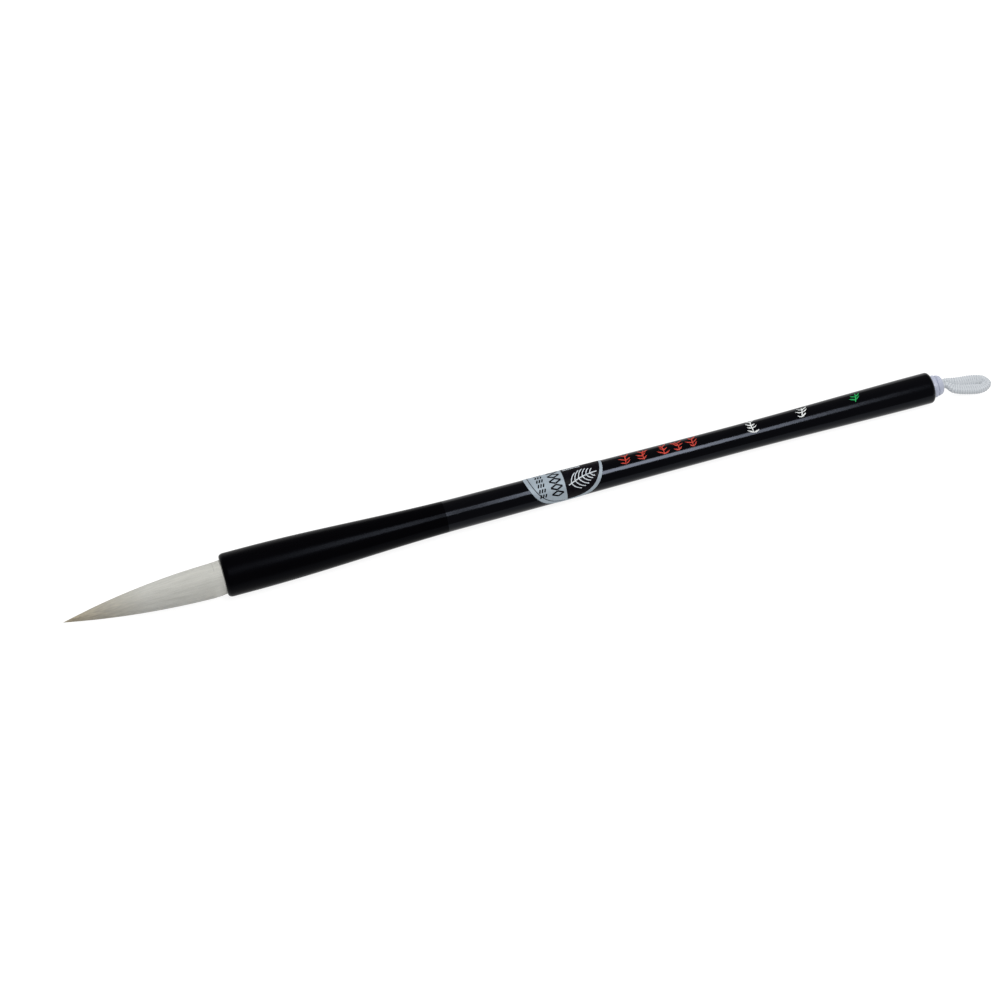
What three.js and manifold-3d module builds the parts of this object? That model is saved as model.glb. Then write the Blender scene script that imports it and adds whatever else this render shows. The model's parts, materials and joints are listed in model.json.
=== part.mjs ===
// A calligraphy brush: a black lacquered handle with a flared mouth, a pointed tuft of white hair,
// a plastic plug in the tail and a short cord loop to hang it by.
//
// Millimetres, +Z up. The brush lies on the plane z = 0 along X with its hair tip towards -X, and it
// touches the plane with two rings of its handle, the flare near the mouth and the thicker tail.
// A "station" is a distance along the brush's own axis, measured from the mouth of the handle:
// positive towards the tail, negative into the hair.

import * as THREE from 'three';
import { mergeVertices } from 'three/addons/utils/BufferGeometryUtils.js';
import Module from 'manifold-3d';

const wasm = await Module();
wasm.setup();

const { smoothstep, lerp } = THREE.MathUtils;

// Handle
const HANDLE_LENGTH = 209.5;
const FLARE_RADIUS = 6.01; // the widest ring, where the fingers hold the brush
const SHOULDER_RADIUS = 4.24; // the shaft just behind the flare
const WAIST_RADIUS = 3.74; // the thinnest ring
const TAIL_RADIUS = 4.31;
const FLARE_FRONT = 8; // stations where the flare starts to narrow and where it is gone
const FLARE_BACK = 70;
const SHOULDER_AT = 60; // stations of the shoulder, the waist and the tail ring
const WAIST_AT = 150;
const TAIL_AT = 208;
const MOUTH_ROUND = [1.4, 0.9]; // rounding of the mouth's edge: along the axis, across it
const TAIL_ROUND = [1.2, 1.2];
const SLEEVE_LENGTH = 64; // the flared grip piece, glued on the shaft's tenon
const TENON_RADIUS = 3;
const TENON_LENGTH = 22;
const HAIR_BORE_RADIUS = 4.75;
const HAIR_BORE_DEPTH = 15;
const TAIL_BORE_RADIUS = 2.5;
const TAIL_BORE_DEPTH = 16.5;

// Hair
const HAIR_LENGTH = 45.3; // outside the mouth
const HAIR_RADIUS = 4.87; // the tuft's belly
const HAIR_ROOT_RADIUS = 4.4; // the part glued in the bore
const HAIR_ROOT_LENGTH = 13;
const HAIR_TAPER = 2.25; // exponent of the tuft's outline: higher is fuller
const CORE_RADIUS = 2.6; // the long stiff hairs inside the cover hair
const COVER_THICKNESS = 0.45; // the cover's edge where it ends, short of the point
const COVER_END = -35;
const BALL_CLEARANCE = 0.35; // how far a bending segment's ball stands out past the tuft
const THREAD_AT = 11; // the binding thread's middle
const THREAD_TURNS = 3;
const THREAD_PITCH = 0.8;
const THREAD_RADII = [4, 4.2, 4.45]; // inside, between two turns, on top of a turn
const THREAD_GROOVE_RADIUS = 3.7;
const SEAL_RADIUS = 4.3;
const SEAL_THICKNESS = 1.4;

// Joints: the tuft bends about these two stations, and the loop about the first point of its route
const BELLY_PIVOT = -8.5;
const POINT_PIVOT = -24;

// Tail plug and cord
const PLUG_END = 212.6;
const PLUG_COLLAR = [3.1, 1.2]; // radius, length
const PLUG_GROOVE_RADIUS = 2.72;
const PLUG_DOME_RADIUS = 2.92;
const PLUG_TIP_RADIUS = 1.85;
const PLUG_TENON_RADIUS = 2.2;
const PLUG_TENON_LENGTH = 11.5;
const CORD_HOLE_RADIUS = 1.6;
const CORD_STEM_RADIUS = 1.3; // the cord's two legs side by side in the plug
const CORD_RADIUS = 0.95;
const CORD_SIDES = 8;
const CORD_STEPS = 36;
const KNOT_RADIUS = 2.15;
const LOOP_ROOT_WIDTH = 4;

// The loop's route in the object's frame, from one leg round the end to the other leg
const LOOP_ROUTE = [
  [130.20, 1.05, 4.23], [132.10, 0.48, 3.86], [134.05, 0.36, 3.33], [135.99, 0.47, 2.72],
  [137.94, 0.55, 2.14], [139.89, 0.39, 1.62], [142.05, -0.25, 1.18], [143.10, -2.00, 1.02],
  [141.55, -3.36, 1.27], [139.31, -3.78, 1.76], [137.36, -3.70, 2.32], [135.42, -3.49, 2.91],
  [133.50, -3.14, 3.48], [131.68, -2.38, 3.95], [130.20, -1.05, 4.23],
];

// Price label: a round film wrapped round the shaft
const LABEL_RADIUS = 11.45;
const LABEL_AT = 99.2;
const LABEL_TURN = THREE.MathUtils.degToRad(42); // its middle, round the axis from straight up towards +Y
const LABEL_THICKNESS = 0.15;
const LABEL_RINGS = 8;
const LABEL_SEGMENTS = 32;

// Modelling
const GAP = 0.3; // room kept between neighbouring pieces
const FACETS = 16; // sides of every turned piece, with one flat side facing down
const FLAT = Math.cos(Math.PI / FACETS);
const OUTLINE_STEP = 6;
const HAIR_STEP = 2.5;
const ARC_STEPS = 6;

const SUPPORT_FRONT = 7; // stations of the two rings that the brush lies on
const SUPPORT_BACK = 205;
const MIDDLE = (PLUG_END - HAIR_LENGTH) / 2; // the station above the origin
const PITCH = Math.atan((FLARE_RADIUS - TAIL_RADIUS) / (SUPPORT_BACK - SUPPORT_FRONT));
const AXIS_HEIGHT = FLARE_RADIUS * Math.cos(PITCH) - (MIDDLE - SUPPORT_FRONT) * Math.sin(PITCH);

const LACQUER = { color: 0x08080a, roughness: 0.18, metalness: 0 };
const WHITE_HAIR = { color: 0xd8d8d0, roughness: 0.7, metalness: 0 };
const CORE_HAIR = { color: 0xc9bfa6, roughness: 0.75, metalness: 0 };
const THREAD = { color: 0xb89a62, roughness: 0.8, metalness: 0 };
const RESIN = { color: 0x4a3420, roughness: 0.5, metalness: 0 };
const WHITE_PLASTIC = { color: 0xdfe0f0, roughness: 0.35, metalness: 0 };
const WHITE_CORD = { color: 0xe6e8ec, roughness: 0.85, metalness: 0 };
const SILVER_FILM = { color: 0xb4bec8, roughness: 0.35, metalness: 0.5 };

// Outlines

function handleRadius(station) {
  const front = (SHOULDER_RADIUS - WAIST_RADIUS) * smoothstep(WAIST_AT - station, 0, WAIST_AT - SHOULDER_AT);
  const back = (TAIL_RADIUS - WAIST_RADIUS) * smoothstep(station - WAIST_AT, 0, TAIL_AT - WAIST_AT);
  const flare = (FLARE_RADIUS - SHOULDER_RADIUS) * (1 - smoothstep(station, FLARE_FRONT, FLARE_BACK));
  return WAIST_RADIUS + front + back + flare;
}

function hairRadius(station) {
  const swell = smoothstep(-station, -0.5, 3);
  const taper = 1 - Math.pow(Math.max(0, -station) / HAIR_LENGTH, HAIR_TAPER);
  return lerp(HAIR_ROOT_RADIUS, HAIR_RADIUS, swell) * taper;
}

function coreRadius(station) {
  return Math.min(CORE_RADIUS, hairRadius(station) - COVER_THICKNESS - GAP);
}

// Points [station, radius] of an outline from one station to another, both included
function outline(radiusAt, from, to, step) {
  const count = Math.max(1, Math.ceil(Math.abs(to - from) / step));
  const points = [];
  for (let i = 0; i <= count; i++) {
    const station = lerp(from, to, i / count);
    points.push([station, radiusAt(station)]);
  }
  return points;
}

// A quarter of an ellipse from [station, radius] of its flat end to that of its side
function roundedEdge([endStation, endRadius], [sideStation, sideRadius]) {
  const points = [];
  for (let i = 0; i <= ARC_STEPS; i++) {
    const angle = (i / ARC_STEPS) * Math.PI / 2;
    const station = lerp(sideStation, endStation, Math.cos(angle));
    points.push([station, lerp(endRadius, sideRadius, Math.sin(angle))]);
  }
  return points;
}

// The ball about a pivot, on the handle's side of it, from one distance off the axis to another
function ball(pivot, radius, fromRadius, toRadius) {
  const from = Math.asin(fromRadius / radius);
  const to = Math.asin(toRadius / radius);
  const points = [];
  for (let i = 0; i <= ARC_STEPS; i++) {
    const angle = lerp(from, to, i / ARC_STEPS);
    points.push([pivot + radius * Math.cos(angle), radius * Math.sin(angle)]);
  }
  return points;
}

// The station at which the tuft's outline meets the ball about a pivot
function rimStation(pivot, radius) {
  let station = pivot;
  for (let i = 0; i < 12; i++) {
    station = pivot + Math.sqrt(radius ** 2 - hairRadius(station) ** 2);
  }
  return station;
}

// Solids

// One closed body with shared corners, facing out
function closedBody(geometry) {
  geometry.deleteAttribute('normal');
  geometry.deleteAttribute('uv');
  const merged = mergeVertices(geometry, 1e-4);
  const corner = merged.getAttribute('position');
  const kept = [];
  for (let i = 0; i < merged.index.count; i += 3) {
    const [a, b, c] = [merged.index.getX(i), merged.index.getX(i + 1), merged.index.getX(i + 2)];
    if (a !== b && b !== c && c !== a) kept.push([a, b, c]);
  }
  const at = (index) => new THREE.Vector3().fromBufferAttribute(corner, index);
  const volume = kept.reduce((sum, [a, b, c]) => sum + at(a).dot(at(b).cross(at(c))), 0);
  merged.setIndex(kept.flatMap((side) => (volume < 0 ? [...side].reverse() : side)));
  merged.computeVertexNormals();
  return merged;
}

// A body turned about the brush's axis: [station, radius] points that start and end on the axis,
// or that close on themselves
function turned(profile) {
  const points = profile.map(([station, radius]) => new THREE.Vector2(radius / FLAT, station));
  const geometry = new THREE.LatheGeometry(points, FACETS, Math.PI / FACETS);
  return closedBody(geometry.rotateZ(-Math.PI / 2));
}

function ring(profile) {
  return turned([...profile, profile[0]]);
}

function toSolid(geometry) {
  const triVerts = new Uint32Array(geometry.index.array);
  const vertProperties = new Float32Array(geometry.getAttribute('position').array);
  return new wasm.Manifold(new wasm.Mesh({ numProp: 3, vertProperties, triVerts }));
}

function fromSolid(solid) {
  const { vertProperties, triVerts } = solid.getMesh();
  const geometry = new THREE.BufferGeometry();
  geometry.setAttribute('position', new THREE.BufferAttribute(vertProperties, 3));
  geometry.setIndex(new THREE.BufferAttribute(triVerts, 1));
  geometry.computeVertexNormals();
  return geometry;
}

// Handle pieces

function mouthSleeve() {
  const [along, across] = MOUTH_ROUND;
  const socketEnd = SLEEVE_LENGTH - TENON_LENGTH;
  return turned([
    [HAIR_BORE_DEPTH, 0],
    [HAIR_BORE_DEPTH, HAIR_BORE_RADIUS],
    [0, HAIR_BORE_RADIUS],
    ...roundedEdge([0, FLARE_RADIUS - across], [along, FLARE_RADIUS]),
    ...outline(handleRadius, SUPPORT_FRONT, SLEEVE_LENGTH, OUTLINE_STEP),
    [SLEEVE_LENGTH, TENON_RADIUS + GAP],
    [socketEnd - GAP, TENON_RADIUS + GAP],
    [socketEnd - GAP, 0],
  ]);
}

function shaft() {
  const [along, across] = TAIL_ROUND;
  const shoulder = SLEEVE_LENGTH + GAP;
  const tailSide = HANDLE_LENGTH - along;
  return turned([
    [SLEEVE_LENGTH - TENON_LENGTH, 0],
    [SLEEVE_LENGTH - TENON_LENGTH, TENON_RADIUS],
    [shoulder, TENON_RADIUS],
    ...outline(handleRadius, shoulder, SUPPORT_BACK, OUTLINE_STEP),
    ...roundedEdge([HANDLE_LENGTH, TAIL_RADIUS - across], [tailSide, TAIL_RADIUS]).reverse(),
    [HANDLE_LENGTH, TAIL_BORE_RADIUS],
    [HANDLE_LENGTH - TAIL_BORE_DEPTH, TAIL_BORE_RADIUS],
    [HANDLE_LENGTH - TAIL_BORE_DEPTH, 0],
  ]);
}

// A disc of film bent round the shaft, a gap clear of the lacquer
function priceLabel() {
  const disc = [];
  for (let i = 0; i <= LABEL_RINGS; i++) disc.push(new THREE.Vector2(LABEL_RADIUS * i / LABEL_RINGS, 0));
  for (let i = LABEL_RINGS; i >= 0; i--) {
    disc.push(new THREE.Vector2(LABEL_RADIUS * i / LABEL_RINGS, LABEL_THICKNESS));
  }
  const geometry = new THREE.LatheGeometry(disc, LABEL_SEGMENTS);
  const position = geometry.getAttribute('position');
  for (let i = 0; i < position.count; i++) {
    const station = LABEL_AT + position.getX(i);
    const turn = LABEL_TURN + position.getZ(i) / handleRadius(LABEL_AT);
    const radius = handleRadius(station) / FLAT + GAP + position.getY(i);
    position.setXYZ(i, station, radius * Math.sin(turn), radius * Math.cos(turn));
  }
  return closedBody(geometry);
}

// Hair: each stretch of the tuft is a solid core in a hollow cover. A bending stretch starts with a
// ball about its pivot, and the stretch behind it ends in the matching cup.

function ballAt(pivot) {
  const radius = hairRadius(pivot) + BALL_CLEARANCE;
  const surface = (from, to) => ball(pivot, radius, from, to);
  return { pivot, radius, rim: rimStation(pivot, radius), surface };
}

// back(from, to) gives the stretch's rear end between two distances off the axis, and side the
// outline's points from there to station sideEnd, where the plain tuft outline takes over
function tuftStretch(back, outerRadius, side, sideEnd, { pivot, radius }) {
  const cupRadius = radius + GAP;
  const coverRadius = CORE_RADIUS + GAP;
  const rim = rimStation(pivot, cupRadius);
  const core = turned([...back(0, CORE_RADIUS), ...ball(pivot, cupRadius, CORE_RADIUS, 0)]);
  const cover = ring([
    ...back(coverRadius, outerRadius),
    ...side,
    ...outline(hairRadius, sideEnd, rim, HAIR_STEP),
    ...ball(pivot, cupRadius, hairRadius(rim), coverRadius).slice(1),
  ]);
  return { core, cover };
}

const bellyBall = ballAt(BELLY_PIVOT);
const pointBall = ballAt(POINT_PIVOT);

function hairRoot() {
  const grooveFront = THREAD_AT - (THREAD_TURNS * THREAD_PITCH) / 2 - GAP;
  const flatEnd = (from, to) => [[HAIR_ROOT_LENGTH, from], [HAIR_ROOT_LENGTH, to]];
  const groove = [[grooveFront, THREAD_GROOVE_RADIUS], [grooveFront - GAP, HAIR_ROOT_RADIUS]];
  return tuftStretch(flatEnd, THREAD_GROOVE_RADIUS, groove, 1, bellyBall);
}

function hairBelly() {
  const { surface, rim } = bellyBall;
  return tuftStretch(surface, hairRadius(rim), [], rim - 1, pointBall);
}

// The point: the cover stops short and the core's long hairs spread to the tuft's outline in front of it
function hairPoint() {
  const tipLength = 0.4;
  const frontOfCover = COVER_END - GAP;
  const coverInside = (station) => coreRadius(station) + GAP;
  const core = turned([
    ...pointBall.surface(0, CORE_RADIUS),
    ...outline(coreRadius, POINT_PIVOT, COVER_END, HAIR_STEP),
    [frontOfCover, coreRadius(COVER_END)],
    ...outline(hairRadius, frontOfCover, tipLength - HAIR_LENGTH, HAIR_STEP),
    [-HAIR_LENGTH, 0],
  ]);
  const cover = ring([
    ...pointBall.surface(CORE_RADIUS + GAP, hairRadius(pointBall.rim)),
    ...outline(hairRadius, pointBall.rim - 1, COVER_END, HAIR_STEP),
    ...outline(coverInside, COVER_END, POINT_PIVOT, HAIR_STEP),
  ]);
  return { core, cover };
}

// Turns of thread drawn tight round the hair's root
function bindingThread() {
  const [inside, valley, crest] = THREAD_RADII;
  const start = THREAD_AT + (THREAD_TURNS * THREAD_PITCH) / 2;
  const profile = [[start, inside], [start, valley]];
  for (let turn = 0; turn < THREAD_TURNS; turn++) {
    const back = start - turn * THREAD_PITCH;
    profile.push([back - THREAD_PITCH * 0.3, crest]);
    profile.push([back - THREAD_PITCH * 0.7, crest]);
    profile.push([back - THREAD_PITCH, valley]);
  }
  profile.push([start - THREAD_TURNS * THREAD_PITCH, inside]);
  return ring(profile);
}

function hairRootSeal() {
  const front = HAIR_ROOT_LENGTH + GAP;
  const back = front + SEAL_THICKNESS;
  return turned([[front, 0], [front, SEAL_RADIUS], [back, SEAL_RADIUS], [back, 0]]);
}

// Tail pieces

function tailPlug() {
  const [collarRadius, collarLength] = PLUG_COLLAR;
  const collarStart = HANDLE_LENGTH + GAP;
  const collarEnd = collarStart + collarLength;
  const tenonEnd = HANDLE_LENGTH - PLUG_TENON_LENGTH;
  return ring([
    [tenonEnd, CORD_HOLE_RADIUS],
    [tenonEnd, PLUG_TENON_RADIUS],
    [collarStart, PLUG_TENON_RADIUS],
    [collarStart, collarRadius - GAP],
    [collarStart + GAP, collarRadius],
    [collarEnd - GAP, collarRadius],
    [collarEnd, PLUG_GROOVE_RADIUS],
    ...roundedEdge([PLUG_END, PLUG_TIP_RADIUS], [collarEnd + 0.2, PLUG_DOME_RADIUS]).reverse(),
    [PLUG_END, CORD_HOLE_RADIUS],
  ]);
}

function cordKnot() {
  const back = HANDLE_LENGTH - TAIL_BORE_DEPTH + GAP;
  const middle = back + KNOT_RADIUS;
  const profile = [];
  for (let i = 0; i <= 2 * ARC_STEPS; i++) {
    const angle = (i / (2 * ARC_STEPS)) * Math.PI;
    profile.push([middle - KNOT_RADIUS * Math.cos(angle), KNOT_RADIUS * Math.sin(angle)]);
  }
  return turned(profile);
}

function cordStem() {
  const start = HANDLE_LENGTH - TAIL_BORE_DEPTH + 2 * KNOT_RADIUS + 2 * GAP;
  return turned([[start, 0], [start, CORD_STEM_RADIUS], [PLUG_END, CORD_STEM_RADIUS], [PLUG_END, 0]]);
}

// The loop: a bent tube whose two legs are joined by a short round root across the pivot
function hangingLoop() {
  const section = new THREE.Shape();
  for (let i = 0; i < CORD_SIDES; i++) {
    const angle = ((i + 0.5) / CORD_SIDES) * 2 * Math.PI;
    const corner = [CORD_RADIUS * Math.cos(angle), CORD_RADIUS * Math.sin(angle)];
    if (i === 0) section.moveTo(...corner);
    else section.lineTo(...corner);
  }
  const route = new THREE.CatmullRomCurve3(LOOP_ROUTE.map((point) => new THREE.Vector3(...point)));
  const tube = new THREE.ExtrudeGeometry(section, { steps: CORD_STEPS, bevelEnabled: false, extrudePath: route });
  const root = new THREE.CylinderGeometry(CORD_RADIUS, CORD_RADIUS, LOOP_ROOT_WIDTH, 2 * CORD_SIDES);
  const [pivotX, , pivotZ] = LOOP_ROUTE[0];
  root.translate(pivotX, 0, pivotZ);
  return fromSolid(toSolid(closedBody(tube)).add(toSolid(closedBody(root))));
}

// Assembly

function piece(name, geometry, finish) {
  const mesh = new THREE.Mesh(geometry, new THREE.MeshStandardMaterial(finish));
  mesh.name = name;
  return mesh;
}

const root = hairRoot();
const belly = hairBelly();
const point = hairPoint();

const brush = new THREE.Group();
brush.add(
  piece('mouth_sleeve', mouthSleeve(), LACQUER),
  piece('shaft', shaft(), LACQUER),
  piece('price_label', priceLabel(), SILVER_FILM),
  piece('hair_root_seal', hairRootSeal(), RESIN),
  piece('binding_thread', bindingThread(), THREAD),
  piece('core_hair_root', root.core, CORE_HAIR),
  piece('cover_hair_root', root.cover, WHITE_HAIR),
  piece('core_hair_belly', belly.core, CORE_HAIR),
  piece('cover_hair_belly', belly.cover, WHITE_HAIR),
  piece('core_hair_point', point.core, CORE_HAIR),
  piece('cover_hair_point', point.cover, WHITE_HAIR),
  piece('tail_plug', tailPlug(), WHITE_PLASTIC),
  piece('cord_knot', cordKnot(), WHITE_CORD),
  piece('cord_stem', cordStem(), WHITE_CORD),
);
brush.rotation.y = PITCH;
brush.position.set(-MIDDLE * Math.cos(PITCH), 0, AXIS_HEIGHT + MIDDLE * Math.sin(PITCH));

const group = new THREE.Group();
group.add(brush, piece('hanging_loop', hangingLoop(), WHITE_CORD));

export default group;
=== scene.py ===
import json
import math
import random

import bmesh
import bpy
import numpy as np
from mathutils import Matrix, Vector


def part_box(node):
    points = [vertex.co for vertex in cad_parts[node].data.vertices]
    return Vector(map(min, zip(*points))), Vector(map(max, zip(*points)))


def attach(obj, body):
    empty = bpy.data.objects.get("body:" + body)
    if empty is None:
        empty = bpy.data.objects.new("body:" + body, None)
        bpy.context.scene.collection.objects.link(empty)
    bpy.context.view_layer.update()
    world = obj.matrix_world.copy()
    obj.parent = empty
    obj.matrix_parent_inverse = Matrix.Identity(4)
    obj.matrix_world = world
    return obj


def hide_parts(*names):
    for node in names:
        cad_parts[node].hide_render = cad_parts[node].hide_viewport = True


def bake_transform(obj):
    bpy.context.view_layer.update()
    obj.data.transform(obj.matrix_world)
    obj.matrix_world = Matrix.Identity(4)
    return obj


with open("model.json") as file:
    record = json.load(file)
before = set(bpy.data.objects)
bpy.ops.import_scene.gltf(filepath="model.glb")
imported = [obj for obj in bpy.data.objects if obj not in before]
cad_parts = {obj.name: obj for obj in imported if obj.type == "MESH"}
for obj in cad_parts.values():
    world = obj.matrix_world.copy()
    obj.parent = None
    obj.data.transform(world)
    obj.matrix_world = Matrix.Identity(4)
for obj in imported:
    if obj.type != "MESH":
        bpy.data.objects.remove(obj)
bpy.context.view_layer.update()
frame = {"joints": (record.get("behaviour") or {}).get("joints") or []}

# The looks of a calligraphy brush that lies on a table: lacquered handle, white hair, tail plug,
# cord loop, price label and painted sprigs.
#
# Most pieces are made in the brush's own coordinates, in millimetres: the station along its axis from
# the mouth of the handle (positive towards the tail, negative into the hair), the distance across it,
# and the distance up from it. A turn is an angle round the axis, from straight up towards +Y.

MM = 0.001

# Handle, as in the CAD model
HANDLE_LENGTH = 209.5
FLARE_RADIUS = 6.01
SHOULDER_RADIUS = 4.24
WAIST_RADIUS = 3.74
TAIL_RADIUS = 4.31
FLARE_FRONT, FLARE_BACK = 8, 70
SHOULDER_AT, WAIST_AT, TAIL_AT = 60, 150, 208
MOUTH_ROUND = (1.4, 0.9)
TAIL_ROUND = (1.2, 1.2)
SLEEVE_LENGTH = 64
TENON_RADIUS, TENON_LENGTH = 3, 22
HAIR_BORE_RADIUS, HAIR_BORE_DEPTH = 4.95, 15
TAIL_BORE_RADIUS, TAIL_BORE_DEPTH = 2.5, 16.5
GLUE_GAP = 0.3
SEAM_GAP = 0.01
LACQUER = 0.22

# Hair
HAIR_LENGTH = 45.8
HAIR_RADIUS = 4.86
HAIR_MOUTH_RADIUS = 4.75
HAIR_ROOT_RADIUS = 4.4
HAIR_ROOT_LENGTH = 13
HAIR_TAPER = 1.98
BELLY_PIVOT, POINT_PIVOT = -8.5, -24
TUFT_CUT = -16
THREAD_AT, THREAD_TURNS, THREAD_PITCH, THREAD_RADIUS = 11, 3, 0.8, 0.40

# Tail plug and cord
PLUG_END = 212.6
CORD_RADIUS = 0.95
LOOP_ROUTE = [
    (130.20, 1.05, 4.23), (132.10, 0.48, 3.86), (134.05, 0.36, 3.33), (135.99, 0.47, 2.72),
    (137.94, 0.55, 2.14), (139.89, 0.39, 1.62), (142.05, -0.25, 1.18), (143.10, -2.00, 1.02),
    (141.55, -3.36, 1.27), (139.31, -3.78, 1.76), (137.36, -3.70, 2.32), (135.42, -3.49, 2.91),
    (133.50, -3.14, 3.48), (131.68, -2.38, 3.95), (130.20, -1.05, 4.23),
]

# Label
LABEL_RADIUS, LABEL_AT, LABEL_TURN = 11.45, 99.2, math.radians(42)

JOINTS = {joint["name"]: joint for joint in frame["joints"]}


def brush_frame():
    """The 4x4 matrix from brush coordinates in mm to the object's frame in metres.

    The tuft's two joints lie on the brush's axis, so they give it.
    """
    belly, point = (Vector(JOINTS[name]["pos_m"]) for name in ("tuft_bend", "point_bend"))
    along = (belly - point).normalized()
    across = Vector((0, 1, 0))
    up = along.cross(across)
    mouth = belly - along * BELLY_PIVOT * MM
    matrix = Matrix.Identity(4)
    for column, axis in enumerate((along * MM, across * MM, up * MM, mouth)):
        for row in range(3):
            matrix[row][column] = axis[row]
    return np.array(matrix)


BRUSH = brush_frame()


def to_object(points):
    """Brush coordinates in mm, as rows, to the object's frame in metres."""
    return np.asarray(points, float) @ BRUSH[:3, :3].T + BRUSH[:3, 3]


# ---------------------------------------------------------------- outlines


def smooth(value, low, high):
    """0 below low, 1 above high, and an S curve between them."""
    share = np.clip((np.asarray(value, float) - low) / (high - low), 0, 1)
    return share * share * (3 - 2 * share)


def handle_radius(station):
    """The outside of the lacquer, which is a thin coat over the CAD model's wood."""
    front = (SHOULDER_RADIUS - WAIST_RADIUS) * smooth(-np.asarray(station), -WAIST_AT, -SHOULDER_AT)
    back = (TAIL_RADIUS - WAIST_RADIUS) * smooth(station, WAIST_AT, TAIL_AT)
    flare = (FLARE_RADIUS - SHOULDER_RADIUS) * (1 - smooth(station, FLARE_FRONT, FLARE_BACK))
    return LACQUER + WAIST_RADIUS + front + back + flare


def hair_radius(station):
    out = -np.asarray(station, float)
    radius = HAIR_ROOT_RADIUS + (HAIR_MOUTH_RADIUS - HAIR_ROOT_RADIUS) * smooth(out, -5, -0.5)
    radius = radius + (HAIR_RADIUS - HAIR_MOUTH_RADIUS) * smooth(out, -0.5, 2.5)
    return radius * (1 - np.clip(out / HAIR_LENGTH, 0, 1) ** HAIR_TAPER)


def arc(centre, radii, start, end, steps=8):
    """[station, radius] points on an ellipse between two angles: 0 is towards the tail, 90 is outward."""
    points = []
    for angle in np.radians(np.linspace(start, end, steps + 1)):
        points.append((centre[0] + radii[0] * math.cos(angle), centre[1] + radii[1] * math.sin(angle)))
    return points


def run(radius_at, start, end, step):
    """[station, radius] points along an outline."""
    count = max(1, round(abs(end - start) / step))
    return [(station, float(radius_at(station))) for station in np.linspace(start, end, count + 1)]


# ---------------------------------------------------------------- meshes


def grid_faces(rows, columns, first=0, wrap_rows=False, wrap_columns=False):
    """Quads of a grid of points stored row by row."""
    faces = []
    for row in range(rows if wrap_rows else rows - 1):
        for column in range(columns if wrap_columns else columns - 1):
            a, b = row * columns, ((row + 1) % rows) * columns
            c = (column + 1) % columns
            faces.append((first + a + column, first + a + c, first + b + c, first + b + column))
    return faces


class Shape:
    """Points, faces and a tone for each point, which is painted shade on some pieces, gathered before they
    become one mesh.
    """

    def __init__(self):
        self.points, self.faces, self.rest, self.tones, self.count = [], [], [], [], 0

    def add(self, points, faces, rest=None, tone=0.5):
        points = np.asarray(points, float).reshape(-1, 3)
        self.points.append(points)
        self.rest.append(points if rest is None else np.asarray(rest, float).reshape(-1, 3))
        self.tones.append(np.broadcast_to(np.asarray(tone, float).ravel(), len(points)))
        self.faces += [tuple(index + self.count for index in face) for face in faces]
        self.count += len(points)

    def piece(self, name, look, body=None, slot=None, replaces=(), in_brush=True, sharp=40):
        """Makes the mesh object. rest keeps the points' own coordinates in mm for the material's patterns."""
        points = np.concatenate(self.points)
        mesh = bpy.data.meshes.new(name)
        mesh.from_pydata((to_object(points) if in_brush else points).tolist(), [], self.faces)
        rest = mesh.attributes.new("rest", "FLOAT_VECTOR", "POINT")
        rest.data.foreach_set("vector", np.concatenate(self.rest).astype(np.float32).ravel())
        tone = mesh.attributes.new("tone", "FLOAT", "POINT")
        tone.data.foreach_set("value", np.concatenate(self.tones).astype(np.float32))
        clean(mesh, sharp)
        mesh.materials.append(look)
        made = bpy.data.objects.new(name, mesh)
        bpy.context.scene.collection.objects.link(made)
        if body:
            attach(made, body)
        if replaces:
            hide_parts(*replaces)
        return made


def clean(mesh, sharp):
    """Joins points that share a place, faces every closed shell outward and shades it smooth."""
    shell = bmesh.new()
    shell.from_mesh(mesh)
    bmesh.ops.remove_doubles(shell, verts=shell.verts, dist=2e-7)
    bmesh.ops.dissolve_degenerate(shell, edges=shell.edges, dist=1e-8)
    bmesh.ops.recalc_face_normals(shell, faces=shell.faces)
    shell.to_mesh(mesh)
    shell.free()
    mesh.shade_smooth()
    mesh.set_sharp_from_angle(angle=math.radians(sharp))


def turned(profile, sides=128, closed=False):
    """Points and faces turned about the brush's axis from [station, radius] points, as a Shape."""
    stations, radii = np.array(profile, float).T
    turns = np.linspace(0, 2 * math.pi, sides, endpoint=False)
    points = np.empty((len(stations), sides, 3))
    points[..., 0] = stations[:, None]
    points[..., 1] = radii[:, None] * np.sin(turns)
    points[..., 2] = radii[:, None] * np.cos(turns)
    shape = Shape()
    shape.add(points, grid_faces(len(stations), sides, wrap_rows=closed, wrap_columns=True))
    return shape


# ---------------------------------------------------------------- materials


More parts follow.
